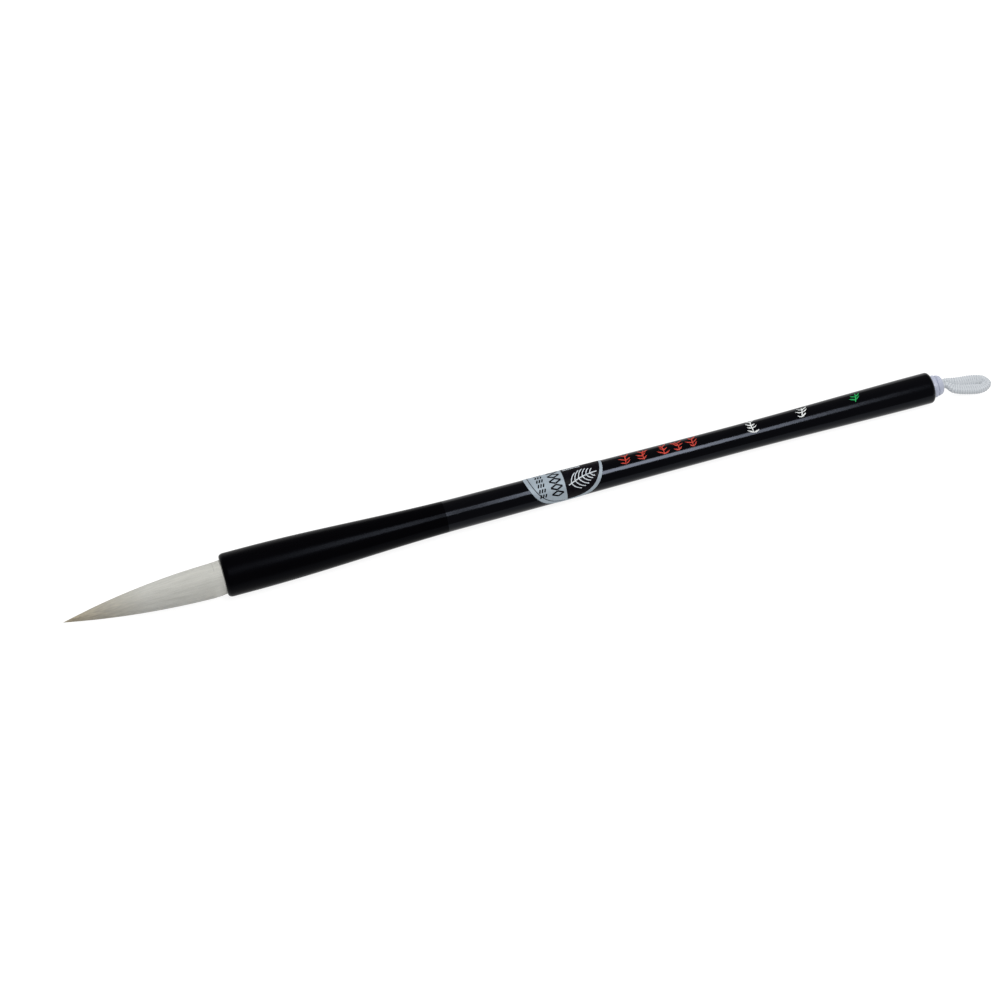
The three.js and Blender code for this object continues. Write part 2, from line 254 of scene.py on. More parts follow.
class Look:
    """A procedural material: a Principled shader with short ways to feed it."""

    def __init__(self, name, **constants):
        self.material = bpy.data.materials.new(name)
        self.material.use_nodes = True
        self.tree = self.material.node_tree
        self.shader = self.tree.nodes["Principled BSDF"]
        for socket, value in constants.items():
            self.set(self.shader, socket.replace("_", " "), value)

    def set(self, node, socket, value):
        if isinstance(value, bpy.types.NodeSocket):
            self.tree.links.new(value, node.inputs[socket])
        else:
            node.inputs[socket].default_value = value

    def node(self, kind, inputs=None, **settings):
        made = self.tree.nodes.new("ShaderNode" + kind)
        for key, value in settings.items():
            setattr(made, key, value)
        for socket, value in (inputs or {}).items():
            self.set(made, socket, value)
        return made

    def rest(self):
        return self.node("Attribute", attribute_name="rest").outputs["Vector"]

    def tone(self):
        return self.node("Attribute", attribute_name="tone").outputs["Fac"]

    def noise(self, cycles, detail=2.0, shift=0.0):
        """Noise from 0 to 1, with that many cycles per mm along the brush, across it and up."""
        place = self.node("Mapping", {"Vector": self.rest(), "Scale": cycles, "Location": (shift,) * 3})
        inputs = {"Vector": place.outputs["Vector"], "Scale": 1.0, "Detail": detail}
        return self.node("TexNoise", inputs).outputs["Fac"]

    def along(self, start, end):
        """From 0 at one station to 1 at another."""
        parts = self.node("SeparateXYZ", {"Vector": self.rest()})
        return self.fit(parts.outputs["X"], start, end, 0, 1)

    def fit(self, value, low, high, to_low, to_high):
        inputs = {"Value": value, "From Min": low, "From Max": high, "To Min": to_low, "To Max": to_high}
        return self.node("MapRange", inputs).outputs["Result"]

    def combine(self, first, second, operation="ADD"):
        return self.node("Math", {0: first, 1: second}, operation=operation).outputs[0]

    def mix(self, share, first, second):
        return self.node("Mix", {0: share, 6: first, 7: second}, data_type="RGBA").outputs[2]

    def bump(self, height, depth, strength=1.0):
        """Feeds the shader's normal from a height of 0 to 1 that stands for that depth in mm."""
        inputs = {"Height": height, "Distance": depth * MM, "Strength": strength}
        self.set(self.shader, "Normal", self.node("Bump", inputs).outputs["Normal"])


def grey(value, warm=0.0):
    """A linear colour near grey; warm above 0 takes blue away, below 0 takes red away."""
    return (value * (1 + min(0, warm)), value, value * (1 - max(0, warm)), 1)


def lacquer_look(name, shine, front_dulling):
    """Black lacquer that is duller towards the mouth, where it is held."""
    look = Look(name, Specular_IOR_Level=shine, Specular_Tint=(0.73, 0.81, 1.0, 1))
    depth = look.noise((0.05, 0.3, 0.3), detail=3)
    black = look.mix(depth, (0.0005, 0.0004, 0.0007, 1), (0.0011, 0.0009, 0.0014, 1))
    look.set(look.shader, "Base Color", black)
    wear = look.noise((0.35, 1.4, 1.4), detail=6)
    held = look.combine(look.along(64, 0), front_dulling, "MULTIPLY")
    look.set(look.shader, "Roughness", look.combine(look.fit(wear, 0.3, 0.7, 0.105, 0.135), held))
    swirl = look.noise((0.12, 0.7, 0.7), detail=2, shift=4)
    grain = look.noise((2.2, 2.6, 2.6), detail=1, shift=9)
    look.bump(look.combine(swirl, look.combine(grain, 0.10, "MULTIPLY")), 0.018)
    return look.material


def hair_look():
    look = Look("white_hair", Specular_IOR_Level=0.3, Sheen_Weight=0.12, Sheen_Roughness=0.4)
    streaks = look.noise((0.035, 2.6, 2.6), detail=4)
    fine = look.noise((0.05, 7.0, 7.0), detail=2, shift=3)
    pale = look.mix(look.fit(streaks, 0.3, 0.7, 0, 1), grey(0.47, 0.06), grey(0.58, 0.05))
    pale = look.mix(look.fit(fine, 0.3, 0.7, 0.25, 0), pale, grey(0.38, 0.12))
    tan = look.mix(look.fit(streaks, 0.35, 0.65, 0, 1), (0.18, 0.142, 0.09, 1), (0.36, 0.315, 0.22, 1))
    reach = look.combine(look.along(-22, -45), look.fit(streaks, 0, 1, -0.25, 0.25))
    colour = look.mix(look.fit(reach, 0.0, 0.95, 0, 0.95), pale, tan)
    # A lower tone darkens the hair towards a brownish grey. On the strands it is a tone that differs at
    # random; on the tuft's surface it is painted shade in the ridges' valleys.
    toned_and_shaded = look.mix(look.fit(look.tone(), 0, 1, 0.18, 0), colour, (0.21, 0.19, 0.15, 1))
    look.set(look.shader, "Base Color", toned_and_shaded)
    look.set(look.shader, "Roughness", look.fit(fine, 0.2, 0.8, 0.5, 0.72))
    look.bump(look.combine(fine, look.noise((0.02, 14, 14), detail=1, shift=7)), 0.02)
    return look.material


def cord_look():
    look = Look("white_braid", Sheen_Weight=0.2, Sheen_Roughness=0.5, Specular_IOR_Level=0.25)
    fibres = look.noise((5, 9, 9), detail=4)
    colour = look.mix(look.fit(fibres, 0.3, 0.7, 0, 1), (0.46, 0.485, 0.51, 1), (0.55, 0.575, 0.595, 1))
    # Painted shade: the braid is darkened to a bluish grey where its relief is low, in the valleys between
    # its strands.
    painted_valley_shade = look.mix(look.fit(look.tone(), 0.0, 0.55, 1, 0), colour, (0.27, 0.295, 0.34, 1))
    look.set(look.shader, "Base Color", painted_valley_shade)
    look.set(look.shader, "Roughness", look.fit(fibres, 0.2, 0.8, 0.7, 0.95))
    look.bump(fibres, 0.03)
    return look.material


def plastic_look():
    look = Look("moulded_white_plastic", Specular_IOR_Level=0.4, Subsurface_Weight=0.15)
    look.set(look.shader, "Subsurface Radius", (0.4, 0.4, 0.5))
    look.set(look.shader, "Subsurface Scale", 0.001)
    clouds = look.noise((0.7, 0.7, 0.7), detail=3)
    look.set(look.shader, "Base Color", look.mix(clouds, (0.36, 0.385, 0.48, 1), (0.42, 0.445, 0.53, 1)))
    look.set(look.shader, "Roughness", look.fit(clouds, 0.2, 0.8, 0.32, 0.48))
    look.bump(look.noise((6, 6, 6), detail=2, shift=2), 0.01)
    return look.material


def film_look():
    look = Look("silver_film", Metallic=0.15, Specular_IOR_Level=0.25)
    brushed = look.noise((6, 0.6, 0.6), detail=4)
    crease = look.noise((0.25, 0.5, 0.5), detail=2, shift=5)
    look.set(look.shader, "Base Color", look.mix(brushed, (0.25, 0.295, 0.34, 1), (0.34, 0.395, 0.44, 1)))
    look.set(look.shader, "Roughness", look.fit(crease, 0.2, 0.8, 0.48, 0.64))
    look.bump(look.combine(crease, look.combine(brushed, 0.1, "MULTIPLY")), 0.03)
    return look.material


def print_look(name, dark, light, roughness=0.4, shine=0.3):
    """Printed ink or brushed pigment: uneven colour and a slightly grained surface."""
    look = Look(name, Specular_IOR_Level=shine)
    patches = look.noise((1.3, 1.3, 1.3), detail=4)
    look.set(look.shader, "Base Color", look.mix(look.fit(patches, 0.3, 0.7, 0, 1), dark, light))
    look.set(look.shader, "Roughness", look.fit(patches, 0.2, 0.8, roughness - 0.08, roughness + 0.12))
    look.bump(look.noise((5, 5, 5), detail=2, shift=6), 0.01)
    return look.material


def thread_look():
    look = Look("waxed_thread", Specular_IOR_Level=0.3, Sheen_Weight=0.1)
    fibres = look.noise((3, 6, 6), detail=4)
    look.set(look.shader, "Base Color", look.mix(fibres, (0.30, 0.19, 0.07, 1), (0.55, 0.40, 0.19, 1)))
    look.set(look.shader, "Roughness", look.fit(fibres, 0.2, 0.8, 0.55, 0.85))
    look.bump(fibres, 0.05)
    return look.material


def resin_look():
    look = Look("root_resin", Specular_IOR_Level=0.5, Coat_Weight=0.3)
    clouds = look.noise((0.8, 0.8, 0.8), detail=5)
    look.set(look.shader, "Base Color", look.mix(clouds, (0.05, 0.02, 0.008, 1), (0.14, 0.065, 0.02, 1)))
    look.set(look.shader, "Roughness", look.fit(clouds, 0.2, 0.8, 0.2, 0.45))
    look.bump(clouds, 0.1)
    return look.material


def floor_look():
    look = Look("pale_floor", Specular_IOR_Level=0.1, Roughness=0.8)
    place = look.node("TexCoord").outputs["Object"]
    speckle = look.node("TexNoise", {"Vector": place, "Scale": 60.0, "Detail": 3.0}).outputs["Fac"]
    look.set(look.shader, "Base Color", look.mix(speckle, grey(0.19), grey(0.21)))
    look.set(look.shader, "Emission Color", grey(1))
    look.set(look.shader, "Emission Strength", 0.88)
    return look.material


# ---------------------------------------------------------------- camera, lights and floor

CAMERA_TARGET = Vector((-2.53, 3.14, 0)) * MM
CAMERA_DISTANCE = 0.8078
CAMERA_AZIMUTH = math.radians(16.754)
CAMERA_ELEVATION = math.radians(64)
CAMERA_LENS = 102.6


def add_camera():
    """A long lens that looks steeply down on the brush from the hair's side."""
    level = Vector((math.sin(CAMERA_AZIMUTH), math.cos(CAMERA_AZIMUTH), 0))
    forward = level * math.cos(CAMERA_ELEVATION) - Vector((0, 0, math.sin(CAMERA_ELEVATION)))
    camera = bpy.data.objects.new("camera", bpy.data.cameras.new("camera"))
    camera.data.lens = CAMERA_LENS
    camera.data.sensor_width = 36
    camera.location = CAMERA_TARGET - forward * CAMERA_DISTANCE
    camera.rotation_euler = forward.to_track_quat("-Z", "Y").to_euler()
    bpy.context.scene.collection.objects.link(camera)
    bpy.context.scene.camera = camera


SOFTBOX_AT = Vector((0.234, -0.215, 0.97))
SOFTBOX_AIM = Vector((0.043, 0, 0.005))
SOFTBOXES = (  # size along and across the brush, and radiance
    ((0.12, 0.42), 29),
    ((0.18, 0.44), 8.6),
    ((0.28, 0.46), 1.1),
)
FILL_AT = Vector((0.05, 0.70, 0.72))
FILL = (0.7, 0.5), 4.6  # its size and radiance


def add_softbox(name, place, size, radiance):
    """A rectangular light that faces the brush, which the camera itself can't see."""
    light = bpy.data.lights.new(name, "AREA")
    light.shape = "RECTANGLE"
    light.size, light.size_y = size
    light.energy = radiance * size[0] * size[1] * math.pi
    lamp = bpy.data.objects.new(name, light)
    back = (place - SOFTBOX_AIM).normalized()
    along = Vector((1, 0, 0))
    along = (along - back * along.dot(back)).normalized()
    turn = Matrix((along, back.cross(along), back)).transposed().to_4x4()
    lamp.matrix_world = Matrix.Translation(place) @ turn
    lamp.visible_camera = False
    bpy.context.scene.collection.objects.link(lamp)
    return lamp


def add_studio():
    """A softbox overhead, brightest in its middle, and a wide soft fill from behind, in a pale room."""
    for number, (size, radiance) in enumerate(SOFTBOXES):
        add_softbox(f"softbox_{number}", SOFTBOX_AT, size, radiance)
    add_softbox("fill", FILL_AT, *FILL).visible_glossy = False
    world = bpy.data.worlds.new("studio")
    world.use_nodes = True
    world.node_tree.nodes["Background"].inputs["Color"].default_value = (1, 1, 1, 1)
    world.node_tree.nodes["Background"].inputs["Strength"].default_value = 0.3
    bpy.context.scene.world = world
    bpy.context.scene.view_settings.view_transform = "Standard"


def add_floor():
    bpy.ops.mesh.primitive_plane_add(size=6, location=(0, 0, 0))
    floor = bpy.context.object
    floor.name = "floor"
    floor.data.materials.append(floor_look())


# ---------------------------------------------------------------- cord

BRAID_STRANDS = 8
BRAID_PITCH = 6.0
BRAID_SIDES = 64
BRAID_STEP = 0.065
BRAID_RELIEF = 0.15
LEG_SPACING = 0.74
LEG_START = 198.2
NECK_AT = (130.20, 0.80, 4.23)
FLAT_OVERLAP = 0.45
KNOT_DEPTH, KNOT_WIDTH, KNOT_CORD_RADIUS = 0.75, 0.5, 0.6


def spline(points, step):
    """Points a step apart on a smooth curve through points (centripetal Catmull-Rom)."""
    points = np.asarray(points, float)
    ends = [2 * points[0] - points[1], *points, 2 * points[-1] - points[-2]]
    curve = []
    for p0, p1, p2, p3 in zip(ends, ends[1:], ends[2:], ends[3:]):
        t0 = 0
        t1 = t0 + np.linalg.norm(p1 - p0) ** 0.5
        t2 = t1 + np.linalg.norm(p2 - p1) ** 0.5
        t3 = t2 + np.linalg.norm(p3 - p2) ** 0.5
        for t in np.linspace(t1, t2, 40, endpoint=False):
            a1 = (t1 - t) / (t1 - t0) * p0 + (t - t0) / (t1 - t0) * p1
            a2 = (t2 - t) / (t2 - t1) * p1 + (t - t1) / (t2 - t1) * p2
            a3 = (t3 - t) / (t3 - t2) * p2 + (t - t2) / (t3 - t2) * p3
            b1 = (t2 - t) / (t2 - t0) * a1 + (t - t0) / (t2 - t0) * a2
            b2 = (t3 - t) / (t3 - t1) * a2 + (t - t1) / (t3 - t1) * a3
            curve.append((t2 - t) / (t2 - t1) * b1 + (t - t1) / (t2 - t1) * b2)
    curve = np.array([*curve, points[-1]])
    far = np.concatenate([[0], np.cumsum(np.linalg.norm(np.diff(curve, axis=0), axis=1))])
    places = np.linspace(0, far[-1], max(2, round(far[-1] / step)))
    return np.stack([np.interp(places, far, curve[:, axis]) for axis in range(3)], 1), places


def braid_height(along, angle):
    """The relief of a braid, from 0 in a valley to 1 on a strand that lies on top."""
    first = BRAID_STRANDS * (angle / (2 * math.pi) - along / BRAID_PITCH)
    second = BRAID_STRANDS * (angle / (2 * math.pi) + along / BRAID_PITCH)
    heights = []
    for own, other, side in ((first, second, 1), (second, first, -1)):
        across = 1 - (2 * (own - np.floor(own)) - 1) ** 2
        over = side * np.where(np.floor(own) % 2 == 0, 1, -1) * np.sin(math.pi * other)
        heights.append(across ** 0.45 * (1 + 0.42 * over) / 1.42)
    rib = 0.5 + 0.5 * np.cos(2 * math.pi * BRAID_STRANDS * along / BRAID_PITCH)
    return np.maximum(*heights) * (0.35 + 0.65 * rib)


def braided(path, places, radius, relief, squeeze=None, wrap=False):
    """A braided tube round a path, in mm. squeeze gives the widths towards the inside and the outside."""
    ahead = np.gradient(path, axis=0)
    if wrap:
        ahead = np.roll(path, -1, 0) - np.roll(path, 1, 0)
    ahead /= np.linalg.norm(ahead, axis=1)[:, None]
    side = np.cross(ahead, (0, 0, 1))
    side /= np.linalg.norm(side, axis=1)[:, None]
    over = np.cross(side, ahead)
    angles = np.linspace(0, 2 * math.pi, BRAID_SIDES, endpoint=False)
    height = braid_height(places[:, None], angles[None, :])
    radii = radius - relief * (1 - height)
    inward = radii * np.cos(angles)
    if squeeze is not None:
        inward = np.where(inward > 0, inward * squeeze[0][:, None], inward * squeeze[1][:, None])
    upward = radii * np.sin(angles)
    points = path[:, None, :] + inward[..., None] * side[:, None, :] + upward[..., None] * over[:, None, :]
    rest = np.stack([np.broadcast_to(places[:, None], radii.shape), inward, upward], -1)
    faces = grid_faces(len(path), BRAID_SIDES, wrap_rows=wrap, wrap_columns=True)
    if not wrap:
        last = (len(path) - 1) * BRAID_SIDES
        faces += [tuple(range(BRAID_SIDES)), tuple(range(last, last + BRAID_SIDES))]
    return points, faces, rest, height


def cord_path():
    """From the knot out through the plug, round the loop and back, in mm in the object's frame."""
    def leg(side):
        stations = (LEG_START, 202, 206, 210, PLUG_END - 0.5)
        inside = [to_object((station, side * LEG_SPACING, 0)) / MM for station in stations]
        return [*inside, (NECK_AT[0], side * NECK_AT[1], NECK_AT[2])]

    return spline([*leg(1), *LOOP_ROUTE[1:-1], *reversed(leg(-1))], BRAID_STEP)


def inner_reach(path, places):
    """How far a flat cord spreads towards the inside of its loop: just over the strand on the other side."""
    reach = []
    for place, point in zip(places, path):
        others = path[np.abs(places - place) > 4]
        reach.append(np.linalg.norm(others - point, axis=1).min() / 2 + FLAT_OVERLAP)
    window = np.hanning(25) / np.hanning(25).sum()
    return np.convolve(np.pad(reach, 12, mode="edge"), window, mode="valid")


def add_cord(look, knot):
    path, places = cord_path()
    pivot = Vector(JOINTS["loop_lift"]["pos_m"])
    beyond = smooth(path[:, 0], pivot.x / MM - 0.3, pivot.x / MM + 1.4)
    squeeze = np.clip(inner_reach(path, places) / CORD_RADIUS, 0.7, 2.7), 0.74 + 0.26 * beyond
    # The relief also goes to the material as the tone, which paints shade in the braid's valleys.
    points, faces, rest, tone = braided(path, places, CORD_RADIUS, BRAID_RELIEF, squeeze)
    shape = Shape()
    shape.add(points * MM, faces, rest, tone)
    cord = shape.piece("loop_cord", look, slot="white_cord", in_brush=False,
                       replaces=("hanging_loop", "cord_stem"), sharp=80)
    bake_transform(cord)


def add_knot(look):
    """The knot behind the plug: a trefoil of the same braid, drawn tight."""
    low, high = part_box("cord_knot")
    centre = np.array((low + high) / 2) / MM
    turns = np.linspace(0, 2 * math.pi, 360, endpoint=False)
    path = np.stack([
        KNOT_DEPTH * np.sin(3 * turns),
        KNOT_WIDTH * (np.sin(turns) + 2 * np.sin(2 * turns)),
        KNOT_WIDTH * (np.cos(turns) - 2 * np.cos(2 * turns)),
    ], 1) + centre
    length = np.linalg.norm(np.roll(path, -1, 0) - path, axis=1)
    places = np.concatenate([[0], np.cumsum(length)[:-1]])
    places *= BRAID_PITCH * round(length.sum() / BRAID_PITCH) / length.sum()
    # Here too the relief paints shade in the braid's valleys.
    points, faces, rest, tone = braided(path, places, KNOT_CORD_RADIUS, 0.12, wrap=True)
    shape = Shape()
    shape.add(points * MM, faces, rest, tone)
    return shape.piece("knot_braid", look, "handle", "white_cord", ["cord_knot"], in_brush=False, sharp=80)


# ---------------------------------------------------------------- handle


def add_handle(grip_look, shaft_look):
    along, across = MOUTH_ROUND
    socket_end = SLEEVE_LENGTH - TENON_LENGTH - GLUE_GAP
    socket = TENON_RADIUS + GLUE_GAP
    sleeve = [
        (HAIR_BORE_DEPTH, 0),
        (HAIR_BORE_DEPTH, HAIR_BORE_RADIUS),
        *run(lambda station: HAIR_BORE_RADIUS, HAIR_BORE_DEPTH - 0.1, 0.3, 1),
        *arc((0.15, HAIR_BORE_RADIUS + 0.15), (0.15, 0.15), 270, 180),
        *arc((along, FLARE_RADIUS + LACQUER - across), (along, across), 180, 90, 16),
        *run(handle_radius, along + 0.4, SLEEVE_LENGTH, 0.8),
        (SLEEVE_LENGTH, socket),
        (socket_end, socket),
        (socket_end, 0),
    ]
    turned(sleeve).piece("lacquered_sleeve", grip_look, "handle", "lacquered_wood", ["mouth_sleeve"])
    along, across = TAIL_ROUND
    shoulder = SLEEVE_LENGTH + SEAM_GAP
    bore_end = HANDLE_LENGTH - TAIL_BORE_DEPTH
    shaft = [
        (SLEEVE_LENGTH - TENON_LENGTH, 0),
        (SLEEVE_LENGTH - TENON_LENGTH, TENON_RADIUS),
        (shoulder, TENON_RADIUS),
        *run(handle_radius, shoulder, HANDLE_LENGTH - along - 0.3, 0.8),
        *arc((HANDLE_LENGTH - along, TAIL_RADIUS + LACQUER - across), (along, across), 90, 0, 16),
        *arc((HANDLE_LENGTH - 0.1, TAIL_BORE_RADIUS + 0.1), (0.1, 0.1), 0, -90, 4),
        (bore_end, TAIL_BORE_RADIUS),
        (bore_end, 0),
    ]
    turned(shaft).piece("lacquered_shaft", shaft_look, "handle", "lacquered_wood", ["shaft"])


def add_plug(look):
    """The moulded plug: a tenon in the tail's bore, a collar, a groove and a dome with a flared hole."""
    face, end = HANDLE_LENGTH + 0.03, PLUG_END + 0.3
    hole, tenon = 1.6, 2.2
    profile = [
        (HANDLE_LENGTH - 11.5, hole),
        *arc((HANDLE_LENGTH - 11.3, tenon - 0.2), (0.2, 0.2), 180, 90, 4),
        (face, tenon),
        *arc((face + 0.15, 3.07), (0.15, 0.15), 180, 90, 4),
        *arc((face + 0.95, 2.87), (0.4, 0.35), 90, 0, 8),
        *arc((face + 1.47, 2.9), (0.12, 0.12), 180, 270, 4),
        *arc((face + 1.6, 1.95), (end - face - 1.8, 1.05), 90, 12, 14),
        *arc((end - 0.22, hole + 0.22), (0.22, 0.22), -36, -90, 3),
        (end - 1.2, hole),
    ]
    turned(profile, 96, closed=True).piece("plug_moulding", look, "handle", "white_plastic", ["tail_plug"])


# ---------------------------------------------------------------- hair

TUFT_SIDES = 288
RIDGES = 26
RIDGE_HEIGHT = 0.03
STRANDS = 1300
STRAND_ENDS = (-24, -45.7)


def tuft_middle(station):
    """Where the tuft's middle lies, across and up, in mm: it leans a little to the front and droops."""
    out = np.clip(-np.asarray(station, float) / HAIR_LENGTH, 0, 1)
    return -0.55 * smooth(-np.asarray(station), -3, 3.5) - 0.45 * out ** 1.6, -0.35 * out ** 1.6


def on_tuft(station, turn, radius):
    across, up = tuft_middle(station)
    station, turn, radius = np.broadcast_arrays(station, turn, radius)
    return np.stack([station, across + radius * np.sin(turn), up + radius * np.cos(turn)], -1)


class Ridges:
    """Combed ridges of the hair: waves round the tuft that drift slowly along it."""

    def __init__(self, seed):
        chance = random.Random(seed)
        self.waves = [(chance.randint(34, 150), chance.uniform(0, 6.28), chance.uniform(-0.06, 0.06))
                      for _ in range(RIDGES)]

    def height(self, station, turn):
        """About -1 to 1."""
        total = sum(np.cos(count * turn + phase + drift * station) for count, phase, drift in self.waves)
        return total / math.sqrt(2 * RIDGES)


def root_radius(station):
    """The root inside the bore, drawn in under the thread."""
    cinch = 0.5 * np.exp(-((np.asarray(station, float) - THREAD_AT) / 1.3) ** 2)
    return hair_radius(station) - cinch


def tuft_surface(ridges, stations):
    turns = np.linspace(0, 2 * math.pi, TUFT_SIDES, endpoint=False)
    grid_station, grid_turn = np.meshgrid(stations, turns, indexing="ij")
    base = root_radius(grid_station)
    relief = ridges.height(grid_station, grid_turn)
    radius = base + RIDGE_HEIGHT * relief * smooth(base, 0.05, 3)
    points = on_tuft(grid_station, grid_turn, radius)
    caps = [np.broadcast_to(on_tuft(stations[end], 0, 0), (1, TUFT_SIDES, 3)) for end in (0, -1)]
    rows = np.concatenate([caps[0], points, caps[1]])
    # Painted shade: the surface's tone is lower, so the hair's material is darker, in the valleys between the
    # ridges.
    tone = np.clip(0.62 + 0.3 * relief, 0, 1)
    tone = np.concatenate([tone[:1], tone, tone[-1:]])
    return rows, grid_faces(len(rows), TUFT_SIDES, wrap_columns=True), tone


def add_strands(shape, hairs, start, end, rings):
    """The stretch of every hair between two stations, as closed three-sided tubes."""
    for hair in hairs:
        low = max(end, hair["end"])
        if low > start - 0.5:
            continue
        stations = np.linspace(start, low, rings)
        left = smooth(stations, hair["end"], hair["end"] + 9)
        turn = hair["turn"] + hair["sway"] * np.sin(stations * hair["wave"] + hair["phase"])
        width = hair["width"] * (0.25 + 0.75 * left)
        radius = root_radius(stations) + hair["lift"] * left - 0.03
        radius = np.maximum(radius, 0.02)
        rows = []
        for sideways, outward in ((0, 0.26), (0.5, -0.16), (-0.5, -0.16)):
            shifted = turn + sideways * width / np.maximum(radius, 0.3)
            rows.append(on_tuft(stations, shifted, np.maximum(radius + outward * width, 0.01)))
        points = np.stack(rows, 1)
        last = 3 * (rings - 1)
        faces = grid_faces(rings, 3, wrap_columns=True) + [(0, 1, 2), (last, last + 1, last + 2)]
        shape.add(points, faces, tone=hair["tone"])


def add_stray(shape):
    """One loose hair that lies across the tuft, close to the mouth."""
    share = np.linspace(0, 1, 20)
    stations = -2.4 + 0.25 * np.sin(2.6 * share) - 0.2 * share
    turns = np.radians(-6 + 58 * share)
    rows = []
    for along, outward in ((0, 0.07), (0.045, -0.02), (-0.045, -0.02)):
        rows.append(on_tuft(stations + along, turns, root_radius(stations) + 0.07 + outward))
    faces = grid_faces(20, 3, wrap_columns=True) + [(0, 1, 2), (57, 58, 59)]
    shape.add(np.stack(rows, 1), faces, tone=1)


def make_hairs():
    chance = random.Random(11)
    hairs = []
    for _ in range(STRANDS):
        reach = chance.random() ** 0.6
        hairs.append({
            "turn": chance.uniform(0, 2 * math.pi),
            "end": STRAND_ENDS[0] + (STRAND_ENDS[1] - STRAND_ENDS[0]) * reach,
            "sway": chance.uniform(-0.03, 0.03),
            "wave": chance.uniform(0.05, 0.15),
            "phase": chance.uniform(0, 6.28),
            "width": chance.uniform(0.05, 0.09),
            "lift": chance.uniform(0.01, 0.06),
            "tone": chance.triangular(0.0, 1.0, 0.75),
        })
    return hairs


def add_tuft(look):
    """The tuft in two pieces, which meet at a cut across the belly."""
    ridges, hairs = Ridges(5), make_hairs()
    lower = Shape()
    lower.add(*tuft_part(ridges, np.linspace(HAIR_ROOT_LENGTH, TUFT_CUT, 110)))
    add_strands(lower, hairs, 2.5, TUFT_CUT, 10)
    add_stray(lower)
    lower = lower.piece("tuft_belly_hair", look, slot="white_hair", sharp=83,
                        replaces=("core_hair_root", "cover_hair_root", "core_hair_belly", "cover_hair_belly"))
    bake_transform(lower)
    upper = Shape()
    tip = TUFT_CUT + (-HAIR_LENGTH - TUFT_CUT) * np.linspace(0, 1, 120) ** 0.9
    upper.add(*tuft_part(ridges, tip))
    add_strands(upper, hairs, TUFT_CUT, -HAIR_LENGTH, 14)
    upper = upper.piece("tuft_point_hair", look, slot="white_hair", sharp=83,
                        replaces=("core_hair_point", "cover_hair_point"))
    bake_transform(upper)


def tuft_part(ridges, stations):
    points, faces, tone = tuft_surface(ridges, stations)
    return points, faces, None, tone


def add_root_thread(look):
    """Three turns of two-ply thread round the root."""
    turns = np.linspace(-0.1, THREAD_TURNS + 0.1, 420)
    angle = 2 * math.pi * turns
    station = THREAD_AT + (THREAD_TURNS / 2 - turns) * THREAD_PITCH
    sections = np.linspace(0, 2 * math.pi, 20, endpoint=False)
    ply = THREAD_RADIUS * (1 + 0.10 * np.cos(2 * sections[None, :] - 14 * angle[:, None]))
    ends = np.minimum(1, np.minimum(turns + 0.1, THREAD_TURNS + 0.1 - turns) / 0.04) ** 0.5
    ply *= ends[:, None]
    radius = 3.98 + ply * np.cos(sections)
    points = np.stack([station[:, None] + ply * np.sin(sections), radius * np.sin(angle)[:, None],
                       radius * np.cos(angle)[:, None]], -1)
    shape = Shape()
    shape.add(points, grid_faces(len(turns), 20, wrap_columns=True))
    shape.piece("root_thread", look, "handle", "thread", ["binding_thread"], sharp=80)


def add_root_seal(look):
    """The fused end of the root: a low dome of resin with a creeping edge."""
    low, high = 13.3, 14.7
    profile = [
        (low, 0),
        (low, 4.1),
        *arc((low + 0.5, 4.1), (0.5, 0.2), 180, 90, 4)[1:],
        *run(lambda station: 4.3 - 0.5 * ((station - low - 0.5) / 0.9) ** 2, low + 0.6, high - 0.25, 0.1),
        (high - 0.12, 3.3),
        (high - 0.03, 2.0),
        (high, 0),
    ]
    turned(profile, 72).piece("root_seal_resin", look, "handle", "root_resin", ["hair_root_seal"])


# ---------------------------------------------------------------- label and painted sprigs


def on_shaft(centre, flat, lift):
    """Flat (along, around) places in mm, laid round the shaft about a centre (station, turn)."""
    flat = np.asarray(flat, float)
    station = centre[0] + flat[..., 0]
    turn = centre[1] + flat[..., 1] / float(handle_radius(centre[0]))
    radius = handle_radius(station) + lift
    return np.stack([station, radius * np.sin(turn), radius * np.cos(turn)], -1)


def add_plate(shape, centre, flat, lift, thickness, tone=0.5):
    """A thin closed plate on the shaft from a grid of flat places, rows by columns."""
    rows, columns = flat.shape[:2]
    low, high = on_shaft(centre, flat, lift), on_shaft(centre, flat, lift + thickness)
    count = rows * columns
    faces = grid_faces(rows, columns) + grid_faces(rows, columns, count)
    border = list(range(columns))
    border += [row * columns + columns - 1 for row in range(1, rows)]
    border += [(rows - 1) * columns + column for column in range(columns - 2, -1, -1)]
    border += [row * columns for row in range(rows - 2, 0, -1)]
    for here, after in zip(border, border[1:] + border[:1]):
        faces.append((here, after, after + count, here + count))
    shape.add(np.concatenate([low.reshape(-1, 3), high.reshape(-1, 3)]), faces, tone=tone)


def disc_grid(radius, start, end, rows, columns):
    """Rows of places across a disc, between two distances along the shaft."""
    first, last = math.acos(max(-1, min(1, start / radius))), math.acos(max(-1, min(1, end / radius)))
    along = radius * np.cos(np.linspace(first, last, rows))
    half = np.sqrt(np.maximum(0, radius ** 2 - along ** 2))
    around = half[:, None] * np.linspace(-1, 1, columns)
    return np.stack([np.broadcast_to(along[:, None], around.shape), around], -1)


def stroke_grid(points, widths):
    """A flat stroke: left edge, middle and right edge along a centreline."""
    points = np.asarray(points, float)
    ahead = np.gradient(points, axis=0)
    ahead /= np.maximum(np.linalg.norm(ahead, axis=1), 1e-9)[:, None]
    side = np.stack([-ahead[:, 1], ahead[:, 0]], 1) * np.asarray(widths)[:, None] / 2
    return np.stack([points - side, points, points + side], 1)


def line_grid(points, width):
    return stroke_grid(points, np.full(len(points), width))


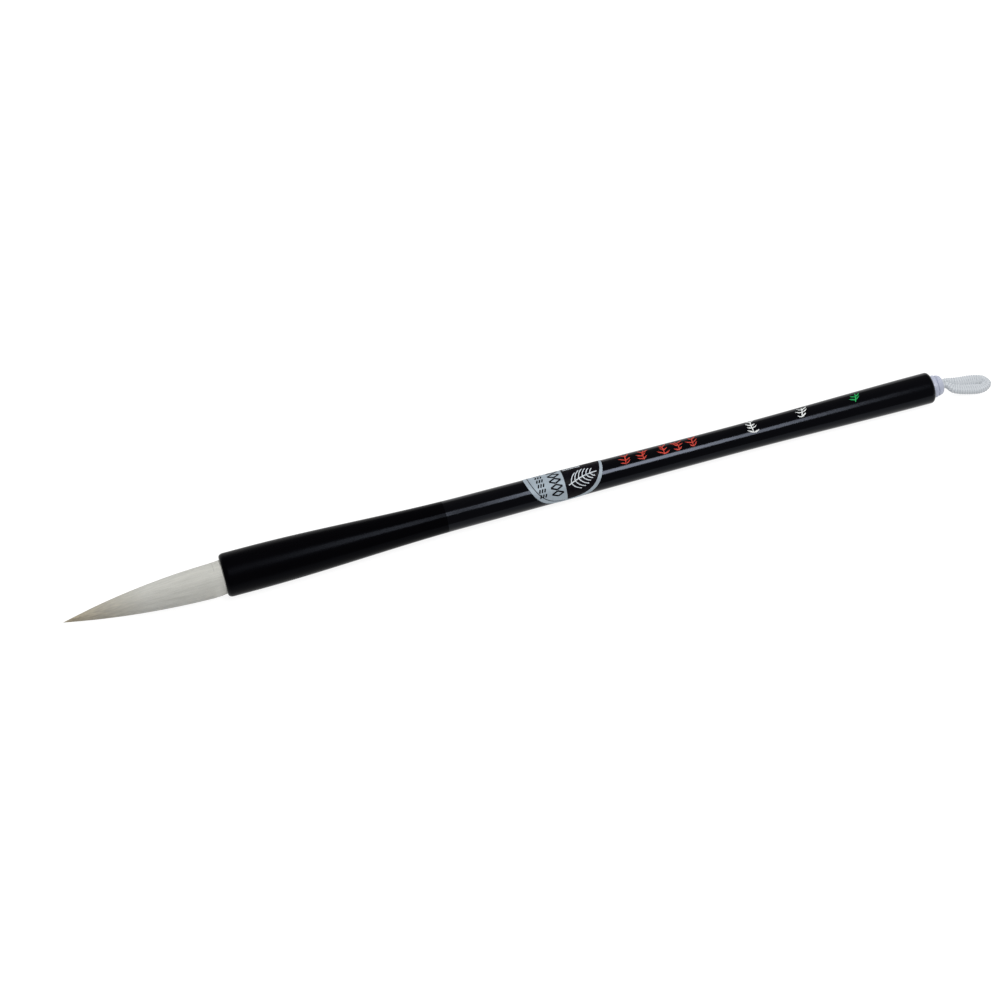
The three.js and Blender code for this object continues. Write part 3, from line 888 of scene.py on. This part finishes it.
def bent_line(start, headings, length):
    """Points of a line that sets out from start and takes one heading after another."""
    steps = np.stack([np.cos(headings), np.sin(headings)], 1) * length / (len(headings) - 1)
    return np.asarray(start) + np.concatenate([[(0, 0)], np.cumsum(steps[:-1], axis=0)])


def leaf_grid(base, angle, length, width, curl):
    """A pointed leaf or dab of a brush."""
    share = np.linspace(0, 1, 13)
    points = bent_line(base, angle + curl * (share - 0.3), length)
    return stroke_grid(points, width * np.sin(math.pi * share ** 0.75) ** 0.8)


FILM_LIFT, FILM_THICKNESS = 0.015, 0.055
PRINT_LIFT, PRINT_THICKNESS = 0.072, 0.008
LINES_LIFT, LINES_THICKNESS = 0.082, 0.006
LABEL_RIM, LABEL_DIVIDE = 0.85, -0.6
LABEL_CENTRE = (LABEL_AT, LABEL_TURN)
PRINTED_ROWS = range(-1, 5)


def add_print(shape, points, width):
    """One printed stroke of dark ink on the film."""
    add_plate(shape, LABEL_CENTRE, line_grid(points, width), PRINT_LIFT, PRINT_THICKNESS)


def add_lozenge(shape, middle, half_along, half_around, width):
    """The outline of a lozenge, printed with four strokes."""
    corners = [(1, 0), (0, 1), (-1, 0), (0, -1), (1, 0)]
    corners = [(middle[0] + half_along * x, middle[1] + half_around * y) for x, y in corners]
    for start, end in zip(corners, corners[1:]):
        add_print(shape, np.linspace(start, end, 5), width)


def add_dark_print(ink):
    """A dark field on the tail's side, and a ring, lozenges and short strokes on the mouth's side."""
    dark = Shape()
    inner = LABEL_RADIUS - LABEL_RIM
    field = disc_grid(inner, inner, LABEL_DIVIDE, 40, 80) + (0.15, 0.5)
    add_plate(dark, LABEL_CENTRE, field, PRINT_LIFT, PRINT_THICKNESS)
    ring = LABEL_RADIUS - 1.25
    turns = np.linspace(math.radians(97), math.radians(263), 90)
    add_print(dark, np.stack([ring * np.cos(turns), ring * np.sin(turns)], 1), 0.24)
    for number in PRINTED_ROWS:
        add_lozenge(dark, (-3.0, 0.55 - 1.85 * number), 1.7, 0.74, 0.46)
    for number in PRINTED_ROWS:
        around = -0.6 - 1.5 * number
        for shift in (-0.75, 0, 0.75):
            add_print(dark, np.linspace((-7.4 + shift, around - 0.5), (-7.0 + shift, around + 0.5), 5), 0.42)
    dark.piece("label_dark_print", ink, "handle", "silver_film")


def add_leaf_lines(silver_ink):
    """A fern frond on the dark field, and a straight and a wavy line beside it."""
    light = Shape()
    share = np.linspace(0, 1, 31)
    stem = np.stack([0.5 + 8.7 * share, -5.4 + 1.9 * share + 0.5 * np.sin(3 * share)], 1)
    add_plate(light, LABEL_CENTRE, line_grid(stem, 0.28), LINES_LIFT, LINES_THICKNESS)
    for number in range(6):
        length = 3.9 - 0.35 * abs(number - 1.5) - 0.2 * number
        for side in (-1, 1):
            headings = math.radians(10 + side * 72) - side * 0.9 * np.linspace(0, 1, 16)
            frond = line_grid(bent_line(stem[4 * number + 3], headings, length), 0.26)
            add_plate(light, LABEL_CENTRE, frond, LINES_LIFT + 0.001 + 0.001 * side, LINES_THICKNESS)
    along = np.linspace(0.1, 5.2, 40)
    for level, wave in ((0.0, 0), (0.95, 0.3)):
        around = level + wave * np.sin(7 * along)
        line = line_grid(np.stack([along, around], 1), 0.28)
        add_plate(light, LABEL_CENTRE, line, LINES_LIFT, LINES_THICKNESS)
    light.piece("label_leaf_lines", silver_ink, "handle", "silver_film")


def add_label(film, ink, silver_ink):
    """The round film, laid round the shaft, with its print."""
    base = Shape()
    disc = disc_grid(LABEL_RADIUS, -LABEL_RADIUS, LABEL_RADIUS, 60, 90)
    add_plate(base, LABEL_CENTRE, disc, FILM_LIFT, FILM_THICKNESS)
    base.piece("label_film", film, "handle", "silver_film", ["price_label"])
    add_dark_print(ink)
    add_leaf_lines(silver_ink)


MARK_TURN = math.radians(15)
RED_MARKS = (117.3, 122.8, 128.3, 132.6, 137.5)
WHITE_MARKS = (155.1, 170.0)
GREEN_MARKS = (186.2,)


def add_sprig(shape, station, reach, pairs, seed):
    """A painted sprig: a short bent stem round the shaft with pairs of pointed leaves."""
    chance = random.Random(seed)
    centre = (station, MARK_TURN)
    share = np.linspace(0, 1, 17)
    lean, bow = chance.uniform(-0.5, 0.5), chance.uniform(-0.5, 0.5)
    stem = np.stack([lean * (1 - 2 * share) + bow * np.sin(math.pi * share), reach * (2 * share - 1)], 1)
    add_plate(shape, centre, stroke_grid(stem, 0.2 + 0.14 * np.sin(math.pi * share)), 0.004, 0.02)
    for pair in range(pairs):
        root = stem[round(16 * (pair + 0.35 * chance.random()) / pairs)]
        for side in (-1, 1):
            angle = math.pi / 2 + side * chance.uniform(0.75, 1.35)
            length, width = chance.uniform(1.3, 2.3), chance.uniform(0.30, 0.44)
            grid = leaf_grid(root, angle, length, width, side * chance.uniform(-0.9, 0.3))
            add_plate(shape, centre, grid, 0.004, 0.022 + 0.002 * (2 * pair + side))


def add_marks(looks):
    for name, sprigs in (
        ("red_sprigs", [(station, 1.7, 3, 3 + number) for number, station in enumerate(RED_MARKS)]),
        ("white_sprigs", [(WHITE_MARKS[0], 2.3, 4, 41), (WHITE_MARKS[1], 1.6, 3, 43)]),
        ("green_sprig", [(GREEN_MARKS[0], 1.5, 2, 72)]),
    ):
        shape = Shape()
        for sprig in sprigs:
            add_sprig(shape, *sprig)
        shape.piece(name, looks[name], "handle", "lacquered_wood")


# ---------------------------------------------------------------- all of it


def build():
    add_camera()
    braid = cord_look()
    add_cord(braid, add_knot(braid))
    add_studio()
    add_floor()
    add_handle(lacquer_look("grip_lacquer", 0.03, 0.20), lacquer_look("shaft_lacquer", 0.122, 0))
    add_plug(plastic_look())
    add_tuft(hair_look())
    add_root_thread(thread_look())
    add_root_seal(resin_look())
    ink = print_look("dark_ink", (0.0020, 0.0017, 0.0028, 1), (0.0045, 0.0038, 0.0060, 1), 0.4, 0.04)
    silver_ink = print_look("silver_ink", (0.42, 0.46, 0.50, 1), (0.58, 0.62, 0.66, 1))
    add_label(film_look(), ink, silver_ink)
    add_marks({
        "red_sprigs": print_look("red_pigment", (0.31, 0.022, 0.014, 1), (0.50, 0.045, 0.026, 1)),
        "white_sprigs": print_look("white_pigment", (0.50, 0.52, 0.52, 1), (0.72, 0.74, 0.73, 1)),
        "green_sprig": print_look("green_pigment", (0.004, 0.22, 0.05, 1), (0.01, 0.36, 0.09, 1)),
    })


build()
